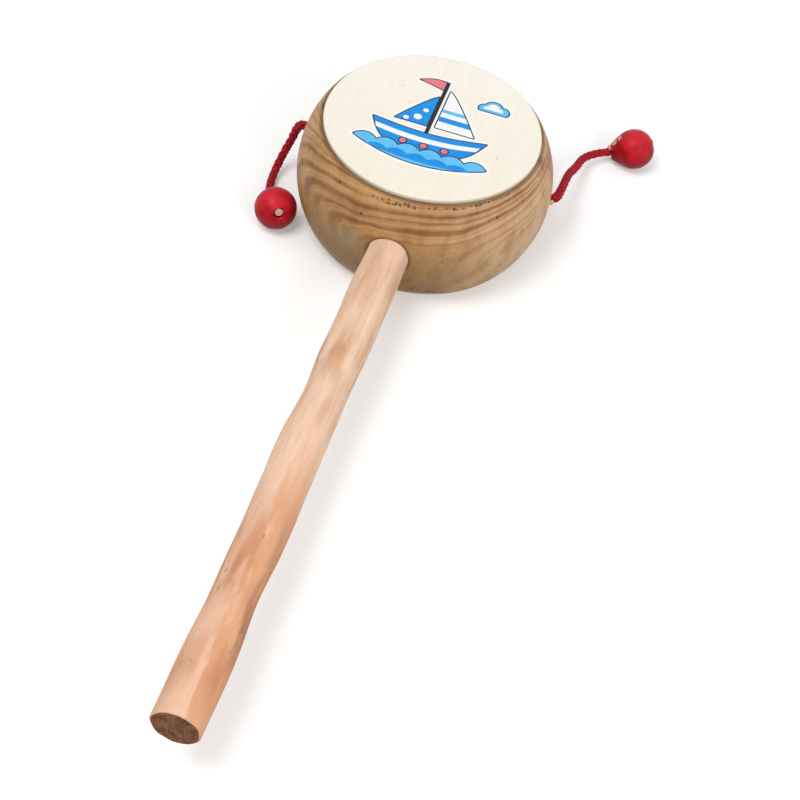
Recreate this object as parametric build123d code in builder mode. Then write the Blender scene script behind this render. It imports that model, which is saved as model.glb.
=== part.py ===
from build123d import *
from math import cos, pi, radians, sin, tan
import os

# A pellet drum rattle lying on its back face. Millimetres, +Z up.
# The origin is the centre of the back face, the handle points along -Y,
# and the cords leave the drum at its sides, +X (right) and -X (left).

# drum
drum_height = 41.1          # over both faces
face_radius = 35.0
face_thickness = 1.2
face_edge_round = 0.3
body_end_radius = 35.9      # where the barrel meets a face
body_mid_radius = 41.8
body_edge_round = 0.8
bore_radius = 27.0

# handle
handle_radius = 6.8
handle_shoulder = 41.6      # where the tenon begins, from the drum's axis
handle_end = 218.6          # free end, from the drum's axis
handle_chamfer = 0.6
tenon_radius = 6.5
tenon_clearance = 0.05
tenon_inside = 2.0          # how far the tenon reaches into the cavity

# cords
cord_radius = 1.4
cord_hole_radius = 2.1
cord_hole_slack = 0.02      # between the cord and its side of the hole
cord_hole_azimuth = 8.0     # degrees behind the drum's widest line
cord_tail_length = 11.0     # held in the wall
cord_gap = 0.1              # between the tail and the part that swings
fold_gap = 1.6              # from a fold's centre to where the cord goes on
arc_share = 0.45            # of the shorter run, taken up by a corner's arc

# wedge pegs in the wall
wall_peg_radius = 0.62
wall_peg_tip_radius = 0.45
wall_peg_length = 11.5
wall_peg_proud = 1.0
wall_peg_shift = -2.1       # from the cord's line, towards the handle

# beads and their pegs
bead_radius = 7.0
bead_bore_radius = 2.1
bead_bore_shift = 0.6       # the bore leaves room for the peg above the cord
bead_peg_radius = 1.3
bead_peg_tip_radius = 0.55
bead_peg_tip_shift = 1.45
bead_peg_proud = 1.0
bead_peg_inset = 0.35       # its head, below the bead's surface

mid_height = drum_height / 2

RIGHT = 1
LEFT = -1
side_names = {RIGHT: "right", LEFT: "left"}

# Each cord runs from its hole over the table to its bead. The route is the
# cord's centre line, from the wall's surface to the end inside the bead.
cord_routes = {
    RIGHT: [
        (41.4, 5.8, 20.5),
        (43.6, 6.1, 20.5),
        (45.3, 7.8, 20.4),
        (45.6, 10.8, 19.8),
        (44.8, 14.9, 18.5),
        (43.6, 21.4, 16.0),
        (43.7, 29.7, 12.6),
        (44.9, 37.9, 8.7),
        (45.4, 45.5, 6.1),
        (47.3, 51.2, 4.4),
        (51.0, 55.0, 3.8),
        (55.4, 56.8, 4.7),
        (60.2, 57.7, 6.5),
    ],
    LEFT: [
        (-41.4, 5.8, 20.5),
        (-43.7, 6.1, 20.5),
        (-45.4, 6.7, 19.4),
        (-46.5, 7.0, 16.9),
        (-47.6, 6.9, 12.6),
        (-49.2, 5.7, 8.0),
        (-50.3, 2.6, 4.3),
        (-50.6, -2.0, 2.2),
        (-50.0, -6.8, 1.7),
        (-48.5, -11.3, 2.2),
        (-46.2, -15.6, 3.9),
        (-43.5, -20.3, 6.3),
    ],
}
fold_points = {RIGHT: 6, LEFT: 6}       # index of the point where a cord folds
bead_centres = {
    RIGHT: Vector(61.6, 58.1, bead_radius),
    LEFT: Vector(-43.0, -21.5, bead_radius),
}


def hole_plane(side):
    """Plane at a cord hole's mouth: its normal is the way out, its x axis points backwards."""
    azimuth = radians(cord_hole_azimuth)
    way_out = Vector(side * cos(azimuth), sin(azimuth), 0)
    backwards = Vector(-side * sin(azimuth), cos(azimuth), 0)
    mouth = way_out * body_mid_radius + Vector(0, 0, mid_height)
    return Plane(origin=mouth, x_dir=backwards, z_dir=way_out)


def thread_plane(side):
    """Plane at a bead's centre: its normal is the way the cord goes through, its x axis is up."""
    centre = bead_centres[side]
    way_through = (centre - Vector(*cord_routes[side][-2])).normalized()
    return Plane(origin=centre, x_dir=(0, 0, 1), z_dir=way_through)


def corner_radii(points):
    """Largest tangent arc that each corner of a route has room for."""
    radii = []
    for before, corner, after in zip(points, points[1:], points[2:]):
        run_in = corner - before
        run_out = after - corner
        turn = radians(run_in.get_angle(run_out))
        shorter = min(run_in.length, run_out.length)
        radii.append(arc_share * shorter / tan(turn / 2))
    return radii


def cord_tube(points, ball_end=False):
    """Round cord along a route; a ball end is the knuckle that a fold turns on."""
    radii = corner_radii(points)
    with BuildPart() as tube:
        with BuildLine() as path:
            FilletPolyline(points, radius=radii)
        with BuildSketch(Plane(origin=path.line @ 0, z_dir=path.line % 0)):
            Circle(cord_radius)
        sweep()
        length = path.wire().length
        expected = pi * cord_radius**2 * length
        print("  length %.1f, volume %.1f, section times length %.1f" % (length, tube.part.volume, expected))
        print("  radii", [round(radius, 1) for radius in radii])
        if ball_end:
            with Locations(points[-1]):
                Sphere(cord_radius)
    return tube


def finish(builder, label):
    """Label a finished piece and write it as a STEP file."""
    builder.part.label = label
    export_step(builder.part, "parts/" + label + ".step")


os.makedirs("parts", exist_ok=True)

# drum body: one turned ring, barrel-shaped outside, bored straight through
with BuildPart() as drum_body:
    with BuildSketch(Plane.XZ) as wall_section:
        with BuildLine():
            low = face_thickness
            high = drum_height - face_thickness
            Polyline((body_end_radius, low), (bore_radius, low), (bore_radius, high), (body_end_radius, high))
            ThreePointArc((body_end_radius, high), (body_mid_radius, mid_height), (body_end_radius, low))
        make_face()
        fillet(wall_section.vertices().group_by(Axis.X)[-1], body_edge_round)
    revolve(axis=Axis.Z)
    with BuildSketch(Plane.XZ.offset(bore_radius / 2)):
        with Locations((0, mid_height)):
            Circle(tenon_radius + tenon_clearance)
    extrude(amount=body_mid_radius, mode=Mode.SUBTRACT)
    for side in (RIGHT, LEFT):
        with BuildSketch(hole_plane(side).offset(cord_hole_radius)):
            with Locations((cord_radius - cord_hole_radius + cord_hole_slack, 0)):
                Circle(cord_hole_radius)
        extrude(amount=-(body_mid_radius - bore_radius + 2 * cord_hole_radius), mode=Mode.SUBTRACT)
finish(drum_body, "drum_body")

# faces: thin wooden discs glued on the body's ends
with BuildPart() as front_face:
    with BuildSketch(Plane.XY.offset(drum_height - face_thickness)):
        Circle(face_radius)
    extrude(amount=face_thickness)
    fillet(front_face.edges().group_by(Axis.Z)[-1], face_edge_round)
finish(front_face, "front_face")

with BuildPart() as back_face:
    with BuildSketch(Plane.XY):
        Circle(face_radius)
    extrude(amount=face_thickness)
    fillet(back_face.edges().group_by(Axis.Z)[0], face_edge_round)
finish(back_face, "back_face")

# handle: a plain stick, with a tenon that goes through the body's wall
with BuildPart() as handle:
    with BuildSketch(Plane.XZ.offset(handle_shoulder)):
        with Locations((0, mid_height)):
            Circle(handle_radius)
    extrude(amount=handle_end - handle_shoulder)
    chamfer(handle.edges().group_by(Axis.Y)[0], handle_chamfer)
    with BuildSketch(Plane.XZ.offset(bore_radius - tenon_inside)):
        with Locations((0, mid_height)):
            Circle(tenon_radius)
    extrude(amount=handle_shoulder - bore_radius + tenon_inside)
    chamfer(handle.edges().group_by(Axis.Y)[-1], handle_chamfer)
finish(handle, "handle")

for side, side_name in side_names.items():
    exit_plane = hole_plane(side)
    bead_plane = thread_plane(side)
    route = [Vector(*point) for point in cord_routes[side]]
    fold = route[fold_points[side]]

    # cord, in the wall
    with BuildPart() as cord_tail:
        with BuildSketch(exit_plane):
            Circle(cord_radius)
        extrude(amount=-cord_tail_length)
    finish(cord_tail, "cord_tail_" + side_name)

    # wedge that holds the cord in the wall
    with BuildPart() as wall_peg:
        with BuildSketch(exit_plane.offset(wall_peg_proud)):
            with Locations((wall_peg_shift, 0)):
                Circle(wall_peg_radius)
        with BuildSketch(exit_plane.offset(wall_peg_proud - wall_peg_length)):
            with Locations((wall_peg_shift, 0)):
                Circle(wall_peg_tip_radius)
        loft()
    finish(wall_peg, "wall_peg_" + side_name)

    # cord, from the wall to the fold
    print("cord_root_" + side_name)
    start = exit_plane.origin + exit_plane.z_dir * cord_gap
    cord_root = cord_tube([start] + route[1:fold_points[side] + 1], ball_end=True)
    finish(cord_root, "cord_root_" + side_name)

    # cord, from the fold into the bead
    print("cord_end_" + side_name)
    onward = route[fold_points[side] + 1:]
    start = fold + (onward[0] - fold).normalized() * fold_gap
    cord_end = cord_tube([start] + onward)
    finish(cord_end, "cord_end_" + side_name)

    # bead with its bore
    with BuildPart() as bead:
        with Locations(bead_plane):
            Sphere(bead_radius)
        with BuildSketch(bead_plane.offset(-bead_radius)):
            with Locations((bead_bore_shift, 0)):
                Circle(bead_bore_radius)
        extrude(amount=2 * bead_radius, mode=Mode.SUBTRACT)
    finish(bead, "bead_" + side_name)

    # tapered peg, driven in beside the cord from the bead's far side
    with BuildPart() as bead_peg:
        with BuildSketch(bead_plane.offset(bead_radius - bead_peg_inset)):
            with Locations((bead_bore_shift, 0)):
                Circle(bead_peg_radius)
        with BuildSketch(bead_plane.offset(-bead_radius - bead_peg_proud)):
            with Locations((bead_bore_shift + bead_peg_tip_shift, 0)):
                Circle(bead_peg_tip_radius)
        loft()
    finish(bead_peg, "bead_peg_" + side_name)
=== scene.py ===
import bmesh
import bpy
import math
from mathutils import Matrix, Vector, noise


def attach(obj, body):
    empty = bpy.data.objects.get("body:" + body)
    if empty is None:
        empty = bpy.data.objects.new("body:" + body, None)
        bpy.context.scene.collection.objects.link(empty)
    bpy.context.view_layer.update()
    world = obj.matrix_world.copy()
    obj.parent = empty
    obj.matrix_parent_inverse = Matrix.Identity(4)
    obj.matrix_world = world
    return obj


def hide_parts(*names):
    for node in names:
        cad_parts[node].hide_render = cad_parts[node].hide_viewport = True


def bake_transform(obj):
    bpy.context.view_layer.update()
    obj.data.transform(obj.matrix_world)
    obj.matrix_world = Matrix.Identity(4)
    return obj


# A pellet drum rattle on a table. The scene is in metres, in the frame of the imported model: origin at
# the centre of the back face, +Z up, handle along -Y, cord holes at the two sides.
# The pieces' dictionaries are in millimetres and degrees.

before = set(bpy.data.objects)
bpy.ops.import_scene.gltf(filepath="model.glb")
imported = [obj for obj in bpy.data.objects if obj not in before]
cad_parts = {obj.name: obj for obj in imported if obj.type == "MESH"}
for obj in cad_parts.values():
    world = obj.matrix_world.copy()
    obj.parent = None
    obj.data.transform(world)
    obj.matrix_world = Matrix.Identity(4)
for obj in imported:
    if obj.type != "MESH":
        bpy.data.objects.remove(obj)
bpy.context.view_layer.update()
mm = 0.001
white = (1, 1, 1, 1)


# helpers

def paint(red, green, blue):
    # the linear colour that shows as these screen values
    def linear(channel):
        share = channel / 255
        return share / 12.92 if share <= 0.04045 else ((share + 0.055) / 1.055) ** 2.4
    return (linear(red), linear(green), linear(blue), 1)


class Nodes:
    # a thin hand for wiring a shader or geometry tree
    def __init__(self, tree):
        self.tree = tree

    def feed(self, socket, value):
        if isinstance(value, bpy.types.NodeSocket):
            self.tree.links.new(value, socket)
        else:
            socket.default_value = value

    def add(self, kind, inputs=None, **settings):
        made = self.tree.nodes.new(kind)
        for key, value in settings.items():
            setattr(made, key, value)
        for key, value in (inputs or {}).items():
            self.feed(made.inputs[key], value)
        return made

    def calc(self, operation, *values, clamp=False):
        made = self.add("ShaderNodeMath", dict(enumerate(values)), operation=operation, use_clamp=clamp)
        return made.outputs[0]

    def times(self, value, *others, clamp=False):
        for other in others:
            value = self.calc("MULTIPLY", value, other, clamp=clamp)
        return value

    def most(self, value, *others):
        for other in others:
            value = self.calc("MAXIMUM", value, other)
        return value

    def off(self, value, middle):
        # how far a value is from the middle
        return self.calc("ABSOLUTE", self.calc("SUBTRACT", value, middle))

    def span(self, value, fromLow, fromHigh, toLow=0.0, toHigh=1.0):
        return self.add("ShaderNodeMapRange", {
            "Value": value, "From Min": fromLow, "From Max": fromHigh, "To Min": toLow, "To Max": toHigh,
        }).outputs[0]

    def vector(self, operation, *values):
        made = self.add("ShaderNodeVectorMath", dict(enumerate(values)), operation=operation)
        return made.outputs["Value" if operation == "LENGTH" else "Vector"]

    def scaled(self, vector, amount):
        made = self.add("ShaderNodeVectorMath", {0: vector, "Scale": amount}, operation="SCALE")
        return made.outputs["Vector"]

    def join(self, x, y, z):
        return self.add("ShaderNodeCombineXYZ", {"X": x, "Y": y, "Z": z}).outputs[0]

    def split(self, vector):
        return self.add("ShaderNodeSeparateXYZ", {"Vector": vector}).outputs

    def away(self, place, centre=(0, 0, 0), weights=(1, 1, 1)):
        # distance from a point, with x, y and z weighted
        fromCentre = self.vector("SUBTRACT", place, centre)
        return self.vector("LENGTH", self.vector("MULTIPLY", fromCentre, weights))

    def inPatches(self, place, size):
        # a place counted in patches of this size along x, y and z
        return self.vector("MULTIPLY", place, tuple(1 / reach for reach in size))

    def noise(self, place, size=(1, 1, 1), detail=2.0, rough=0.5, seed=0.0):
        return self.add("ShaderNodeTexNoise", {
            "Vector": self.inPatches(place, size), "W": seed, "Scale": 1.0, "Detail": detail,
            "Roughness": rough,
        }, noise_dimensions="4D").outputs["Fac"]

    def cells(self, place, size):
        # distance from the middle of a cell, and three random numbers for each cell
        made = self.add("ShaderNodeTexVoronoi", {"Vector": self.inPatches(place, size), "Scale": 1.0})
        chances = self.add("ShaderNodeSeparateColor", {"Color": made.outputs["Color"]}).outputs
        return made.outputs["Distance"], chances

    def ramp(self, value, stops):
        made = self.add("ShaderNodeValToRGB", {"Fac": value})
        elements = made.color_ramp.elements
        while len(elements) < len(stops):
            elements.new(1)
        for element, (place, shade) in zip(elements, stops):
            element.position = place
            element.color = (shade, shade, shade, 1)
        return made.outputs["Color"]

    def mix(self, share, first, second, blend="MIX"):
        # sockets 0, 6 and 7 are the factor and the two colours
        made = self.add("ShaderNodeMix", {0: share, 6: first, 7: second}, data_type="RGBA", blend_type=blend)
        return made.outputs[2]


def emptyNodes(owner):
    # the node tree of a material or a world, with nothing in it yet
    owner.use_nodes = True
    owner.node_tree.nodes.clear()
    return Nodes(owner.node_tree)


def newMaterial(name, roughness, specular):
    material = bpy.data.materials.new(name)
    nodes = emptyNodes(material)
    shader = nodes.add("ShaderNodeBsdfPrincipled", {"Roughness": roughness, "Specular IOR Level": specular})
    nodes.add("ShaderNodeOutputMaterial", {"Surface": shader.outputs[0]})
    objectPlace = nodes.add("ShaderNodeTexCoord").outputs["Object"]
    return material, nodes, shader, nodes.scaled(objectPlace, 1 / mm)      # millimetres from here on


def cover(nodes, shader, colour, relief, depth, strength):
    # colour and relief, up to a depth in millimetres
    nodes.feed(shader.inputs["Base Color"], colour)
    bump = nodes.add("ShaderNodeBump", {"Height": relief, "Distance": depth * mm, "Strength": strength})
    nodes.feed(shader.inputs["Normal"], bump.outputs[0])


def addObject(name, data):
    made = bpy.data.objects.new(name, data)
    bpy.context.scene.collection.objects.link(made)
    return made


def newPiece(name, vertices, faces, materials, smooth=True, faceMaterials=None):
    mesh = bpy.data.meshes.new(name)
    mesh.from_pydata([tuple(v) for v in vertices], [], faces)
    for material in materials:
        mesh.materials.append(material)
    if faceMaterials:
        mesh.polygons.foreach_set("material_index", faceMaterials)
    mesh.polygons.foreach_set("use_smooth", [smooth] * len(mesh.polygons))
    tidyMesh(mesh)
    return addObject(name, mesh)


def tidyMesh(mesh, mergeWithin=1e-7):
    work = bmesh.new()
    work.from_mesh(mesh)
    bmesh.ops.remove_doubles(work, verts=work.verts, dist=mergeWithin)
    bmesh.ops.recalc_face_normals(work, faces=work.faces)
    work.to_mesh(mesh)
    work.free()
    mesh.update()


def sharpen(piece, degrees):
    piece.data.set_sharp_from_angle(angle=math.radians(degrees))


def finalMesh(piece):
    # what a piece's modifiers or its curve make, as a plain mesh
    return bpy.data.meshes.new_from_object(piece.evaluated_get(bpy.context.evaluated_depsgraph_get()))


def settle(piece):
    mesh = finalMesh(piece)
    piece.modifiers.clear()
    piece.data = mesh
    mesh.name = piece.name


def ringFaces(rows, columns, closedRows=False, caps=False):
    # faces between rows of points, row after row, and over the first and last row
    faces = []
    for row in range(rows if closedRows else rows - 1):
        nextRow = (row + 1) % rows
        for column in range(columns):
            nextColumn = (column + 1) % columns
            faces.append((row * columns + column, row * columns + nextColumn,
                          nextRow * columns + nextColumn, nextRow * columns + column))
    if caps:
        faces.append(tuple(range(columns))[::-1])
        faces.append(tuple(range((rows - 1) * columns, rows * columns)))
    return faces


def compass(count):
    # evenly spaced directions all round
    angles = [2 * math.pi * step / count for step in range(count)]
    return [(math.cos(angle), math.sin(angle)) for angle in angles]


def wander(x, y, z, seed=0.0):
    # smooth chance, about -1 to 1, the same on every run
    return noise.noise(Vector((x + seed * 17.3, y - seed * 9.1, z + seed * 5.7)))


# camera, light, floor

view = {
    # place and aim in metres, lens in millimetres
    "place": (0.0728, -0.4205, 0.3977),
    "aim": (0.0207, -0.0957, 0.0200),
    "roll": 10.35,
    "lens": 78.0,
}
studio = {
    # metres, watts and strengths
    "world": 0.53,
    "lamps": [
        # name, place, size, watts
        ("key", (-0.3, -0.35, 0.95), 0.55, 4.2),
        ("fill", (0.75, -0.6, 0.6), 0.6, 3.8),
    ],
    "lampAim": (0, -0.06, 0.02),
    "floorHalf": 4.0,
    "floorColour": paint(250, 250, 250),
    "floorBounce": paint(196, 194, 190),     # what the object's underside gets back from the floor
    "floorLift": 0.2,                        # a glow that keeps the floor pale where it is seen
    "fade": (0.7, 1.5),                      # over this stretch the floor turns into a white backdrop
}


def lookingAt(place, aim, roll=0.0):
    looking = Vector(aim) - Vector(place)
    turn = looking.to_track_quat("-Z", "Y").to_matrix().to_4x4()
    turn = turn @ Matrix.Rotation(math.radians(roll), 4, "Z")
    return Matrix.Translation(place) @ turn


def setCamera():
    camera = addObject("camera", bpy.data.cameras.new("camera"))
    bpy.context.scene.camera = camera
    camera.data.lens = view["lens"]
    camera.data.clip_start = 0.01
    camera.matrix_world = lookingAt(view["place"], view["aim"], view["roll"])
    bpy.context.scene.view_settings.view_transform = "Standard"


def lightStudio():
    for name, place, size, watts in studio["lamps"]:
        lamp = addObject(name, bpy.data.lights.new(name, "AREA"))
        lamp.data.shape = "DISK"
        lamp.data.size = size
        lamp.data.energy = watts
        lamp.matrix_world = lookingAt(place, studio["lampAim"])
    world = bpy.data.worlds.new("studio")
    bpy.context.scene.world = world
    nodes = emptyNodes(world)
    rays = nodes.add("ShaderNodeLightPath").outputs
    seen = nodes.most(rays["Is Camera Ray"], rays["Is Transmission Ray"], rays["Is Glossy Ray"])
    strength = nodes.span(seen, 0.0, 1.0, studio["world"], 1.0)
    sky = nodes.add("ShaderNodeBackground", {"Color": white, "Strength": strength})
    nodes.add("ShaderNodeOutputWorld", {"Surface": sky.outputs[0]})


def layFloor():
    half = studio["floorHalf"]
    corners = [(-half, -half, 0), (half, -half, 0), (half, half, 0), (-half, half, 0)]
    material = bpy.data.materials.new("paleFloor")
    nodes = emptyNodes(material)
    rays = nodes.add("ShaderNodeLightPath").outputs
    seen = nodes.most(rays["Is Camera Ray"], rays["Is Glossy Ray"])
    shade = nodes.mix(seen, studio["floorBounce"], studio["floorColour"])
    matt = nodes.add("ShaderNodeBsdfDiffuse", {"Color": shade})
    lift = nodes.times(seen, studio["floorLift"])
    glow = nodes.add("ShaderNodeEmission", {"Color": white, "Strength": lift})
    both = nodes.add("ShaderNodeAddShader", {0: matt.outputs[0], 1: glow.outputs[0]})
    fromMiddle = nodes.away(nodes.add("ShaderNodeTexCoord").outputs["Object"])
    far = nodes.times(nodes.span(fromMiddle, *studio["fade"]), seen)
    backdrop = nodes.add("ShaderNodeEmission", {"Color": white, "Strength": 1.0})
    whole = nodes.add("ShaderNodeMixShader", {0: far, 1: both.outputs[0], 2: backdrop.outputs[0]})
    nodes.add("ShaderNodeOutputMaterial", {"Surface": whole.outputs[0]})
    floor = newPiece("floor", corners, [(0, 1, 2, 3)], [material], smooth=False)


setCamera()
lightStudio()
layFloor()
print("camera, light and floor are set")


# materials
# A pair of x, y, z or radius says where something starts and where it is complete.

def makeBodyWood():
    look = {
        "light": paint(208, 164, 112),
        "middle": paint(190, 144, 92),
        "band": paint(128, 80, 38),
        "oliveAndShade": paint(150, 117, 70),
        "oliveAndShadeZ": (30.0, 16.0),
        "paleLitSide": paint(230, 193, 154),
        "litSideX": (12.0, 38.0),
        # dark brown of the open pores, used also for painted shade
        "poreAndShade": paint(64, 38, 22),
        "frontY": (-26.0, -32.0),           # the wall beside the handle
        "grey": paint(160, 142, 112),       # painted shadow: a grey patch there
        "shadowPatch": (-14.0, 0.0, 19.5),
        "shadowRadius": (9.0, 3.0),
        "handleAxis": (0.0, 0.0, 20.55),
        "socketShadeRadius": (8.0, 6.8),           # radius round the handle, of painted shade at its mouth
        "glueLineShadeZ": (39.2, 39.7),              # painted shade along the glue line, under the face's rim
        "pith": (-4.5, 2.4, 20.0),          # a point on the tree's axis
        "lean": 10.0,                       # how far the axis leans back as it rises
        "lobes": (0.016, 0.046),            # how far the rings are from round
        "waves": (0.9, 0.26),               # how far they wander, slowly and quickly
        "taper": 0.15,                      # the bands lie further apart towards the foot, on the right
        "taperZ": 31.0,
        "taperX": (-30.0, -8.0),
        "rings": [
            # radius, half width, strength on the left and on the right
            (39.65, 0.36, 0.95, 0.6), (40.95, 0.32, 1.0, 0.3), (41.45, 0.07, 0.3, 0.25),
            (41.9, 0.34, 1.0, 1.0), (42.24, 0.08, 0.35, 0.35), (42.5, 0.2, 0.9, 0.8), (43.1, 0.27, 0.85, 1.0),
            (43.5, 0.08, 0.3, 0.3), (43.95, 0.16, 0.3, 0.4), (44.3, 0.08, 0.2, 0.25), (44.9, 0.18, 0.3, 0.4),
            (45.5, 0.14, 0.3, 0.3), (46.2, 0.18, 0.3, 0.35), (46.9, 0.16, 0.3, 0.3),
        ],
        "rightX": (-20.0, -9.0),
        "inner": (39.1, 38.8),              # further in, the rings come evenly
        "spacing": 1.25,
        "year": [(0.0, 0.05), (0.1, 0.95), (0.28, 0.4), (0.5, 0.05), (1.0, 0.05)],      # dark share
        "plainZ": (26.0, 20.0),             # low in front the saw ran between two rings
        "plainY": (8.0, -14.0),
        "threads": (0.16, 30, 30),          # fine lines between the dark rings
        "threadsZ": (16.0, 30.0),
        "poreSize": (1.05, 1.05, 1.9),
        "poreRing": (40.97, 0.33),          # radius and half width of a row of open pores
        "poreRowX": [(-10.0, -5.0), (30.0, 23.0)],
    }
    material, nodes, shader, place = newMaterial("bodyWood", 0.52, 0.3)
    x, y, z = nodes.split(place)
    grainPlace = nodes.add("ShaderNodeMapping", {
        "Vector": place, "Location": look["pith"], "Rotation": (-math.radians(look["lean"]), 0, 0),
    }, vector_type="TEXTURE").outputs[0]
    slow = nodes.noise(grainPlace, (17, 17, 48), 1.0, 0.5, 1.3)
    quick = nodes.noise(grainPlace, (3.6, 3.6, 12), 2.0, 0.55, 4.1)
    fibre = nodes.noise(grainPlace, (0.5, 0.5, 7), 3.0, 0.62, 2.2)
    blotch = nodes.noise(grainPlace, (8, 8, 13), 3.0, 0.6, 9.4)
    smear = nodes.noise(grainPlace, (5, 5, 9), 2.0, 0.5, 12.6)

    # depth is the radius of the growth ring that a point belongs to
    fromPith = nodes.vector("MULTIPLY", grainPlace, (1, 1, 0))
    radius = nodes.vector("LENGTH", fromPith)
    wayX, wayY = nodes.split(nodes.vector("NORMALIZE", fromPith))[:2]
    squares = nodes.calc("SUBTRACT", nodes.times(wayX, wayX), nodes.times(wayY, wayY))
    lobe = nodes.times(wayX, wayY, 2 * look["lobes"][1])
    lobe = nodes.calc("MULTIPLY_ADD", squares, look["lobes"][0], lobe)
    depth = nodes.calc("MULTIPLY_ADD", radius, lobe, radius)
    taper = nodes.span(z, look["taperZ"], 0.0, 0.0, look["taperZ"] * look["taper"])
    depth = nodes.calc("ADD", depth, nodes.times(taper, nodes.span(x, *look["taperX"])))
    for wave, height in zip((slow, quick), look["waves"]):
        depth = nodes.calc("MULTIPLY_ADD", nodes.calc("SUBTRACT", wave, 0.5), height, depth)

    # early is the dark porous wood of each ring
    early = 0.0
    for ring, halfWidth, leftStrength, rightStrength in look["rings"]:
        line = nodes.span(nodes.off(depth, ring), halfWidth * 0.2, halfWidth, 1.0, 0.0)
        strength = nodes.span(x, *look["rightX"], leftStrength, rightStrength)
        early = nodes.most(early, nodes.times(line, strength))
    years = nodes.calc("DIVIDE", depth, look["spacing"])
    season = nodes.ramp(nodes.calc("FRACT", years), look["year"])
    early = nodes.most(early, nodes.times(season, nodes.span(depth, *look["inner"])))
    early = nodes.times(early, nodes.span(smear, 0.3, 0.62, 0.62, 1.08))
    plain = nodes.times(nodes.span(z, *look["plainZ"], 0.0, 0.85), nodes.span(y, *look["plainY"]))
    early = nodes.times(early, nodes.calc("SUBTRACT", 1.0, plain), clamp=True)

    colour = nodes.mix(nodes.span(blotch, 0.36, 0.62), look["light"], look["middle"])
    # lower on the wall: olive wood tone, and painted shade darker towards the foot
    low = nodes.times(nodes.span(z, *look["oliveAndShadeZ"]), nodes.span(blotch, 0.34, 0.6, 0.6, 1.0), clamp=True)
    colour = nodes.mix(low, colour, look["oliveAndShade"])
    # painted light: the wall paler towards its right side
    litSide = nodes.span(x, *look["litSideX"], 0.0, 0.85)
    litSide = nodes.times(litSide, nodes.span(smear, 0.3, 0.6, 1.0, 0.5), clamp=True)
    colour = nodes.mix(litSide, colour, look["paleLitSide"])
    colour = nodes.mix(nodes.span(smear, 0.52, 0.72, 0.0, 0.4), colour, look["band"])
    front = nodes.span(y, *look["frontY"])
    # painted shadow: a grey patch on the front, left of the handle
    fromPatch = nodes.away(place, look["shadowPatch"], (1, 0, 1.1))
    shadowed = nodes.span(fromPatch, *look["shadowRadius"], 0.0, 0.75)
    shadowed = nodes.times(shadowed, front, nodes.span(blotch, 0.3, 0.6, 0.5, 1.0))
    colour = nodes.mix(shadowed, colour, look["grey"])
    threads = nodes.noise(nodes.join(depth, y, x), look["threads"], 3.0, 0.65, 6.6)
    threads = nodes.times(nodes.span(threads, 0.46, 0.7, 0.0, 0.42), nodes.span(z, *look["threadsZ"], 0.45))
    colour = nodes.mix(threads, colour, look["band"])
    colour = nodes.mix(nodes.span(fibre, 0.35, 0.7, 0.0, 0.17), colour, look["middle"], "MULTIPLY")
    colour = nodes.mix(nodes.times(early, 0.9), colour, look["band"])
    # painted shade along the top of the wall, under the face's rim
    colour = nodes.mix(nodes.span(z, *look["glueLineShadeZ"], 0.0, 0.6), colour, look["poreAndShade"])
    # painted shade in a ring round the handle's mouth, on the front
    fromHandle = nodes.away(place, look["handleAxis"], (1, 0, 1))
    socketShade = nodes.times(nodes.span(fromHandle, *look["socketShadeRadius"], 0.0, 0.62), front)
    colour = nodes.mix(socketShade, colour, look["poreAndShade"])

    distance, chances = nodes.cells(grainPlace, look["poreSize"])
    ring, halfWidth = look["poreRing"]
    wanted = nodes.span(nodes.off(depth, ring), halfWidth * 0.6, halfWidth, 0.95, 0.0)
    for start, end in look["poreRowX"]:
        wanted = nodes.times(wanted, nodes.span(x, start, end, 0.15))
    wanted = nodes.most(wanted, nodes.span(early, 0.2, 1.0, 0.003, 0.028))
    kept = nodes.calc("LESS_THAN", chances[0], wanted)
    pores = nodes.times(nodes.span(distance, 0.32, 0.52, 1.0, 0.0), kept)
    colour = nodes.mix(nodes.times(pores, 0.75), colour, look["poreAndShade"])
    nodes.feed(shader.inputs["Roughness"], nodes.span(pores, 0.0, 1.0, 0.5, 0.8))
    relief = nodes.calc("SUBTRACT", nodes.times(fibre, 0.5), pores)
    relief = nodes.calc("MULTIPLY_ADD", early, -0.3, relief)
    cover(nodes, shader, colour, relief, 0.07, 0.6)
    return material


def makeVeneer():
    look = {
        "ground": paint(247, 239, 223),
        "fresh": paint(252, 247, 235),
        "freshY": (-12.0, 28.0),            # away from the handle it was handled less
        "line": paint(226, 209, 182),
        "speck": paint(170, 140, 105),
        "speckSize": (3.4, 7, 5),
        "speckShare": 0.1,
        "edge": paint(205, 190, 165),
        "edgeRadius": (34.55, 34.95),
    }
    material, nodes, shader, place = newMaterial("faceVeneer", 0.5, 0.4)
    grain = nodes.noise(place, (1.3, 26, 3), 3.0, 0.6, 3.0)
    broad = nodes.noise(place, (9, 40, 9), 1.0, 0.5, 5.0)
    y = nodes.split(place)["Y"]
    colour = nodes.mix(nodes.span(y, *look["freshY"], 0.0, 0.8), look["ground"], look["fresh"])
    colour = nodes.mix(nodes.span(grain, 0.45, 0.75, 0.0, 0.2), colour, look["line"])
    colour = nodes.mix(nodes.span(broad, 0.5, 0.75, 0.0, 0.12), colour, look["line"])
    distance, chances = nodes.cells(place, look["speckSize"])
    kept = nodes.calc("LESS_THAN", chances[1], look["speckShare"])
    speck = nodes.times(nodes.span(distance, 0.05, 0.1, 1.0, 0.0), kept)
    colour = nodes.mix(nodes.times(speck, 0.7), colour, look["speck"])
    rim = nodes.span(nodes.away(place, weights=(1, 1, 0)), *look["edgeRadius"], 0.0, 0.8)
    colour = nodes.mix(rim, colour, look["edge"])
    cover(nodes, shader, colour, grain, 0.03, 0.5)
    return material


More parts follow.
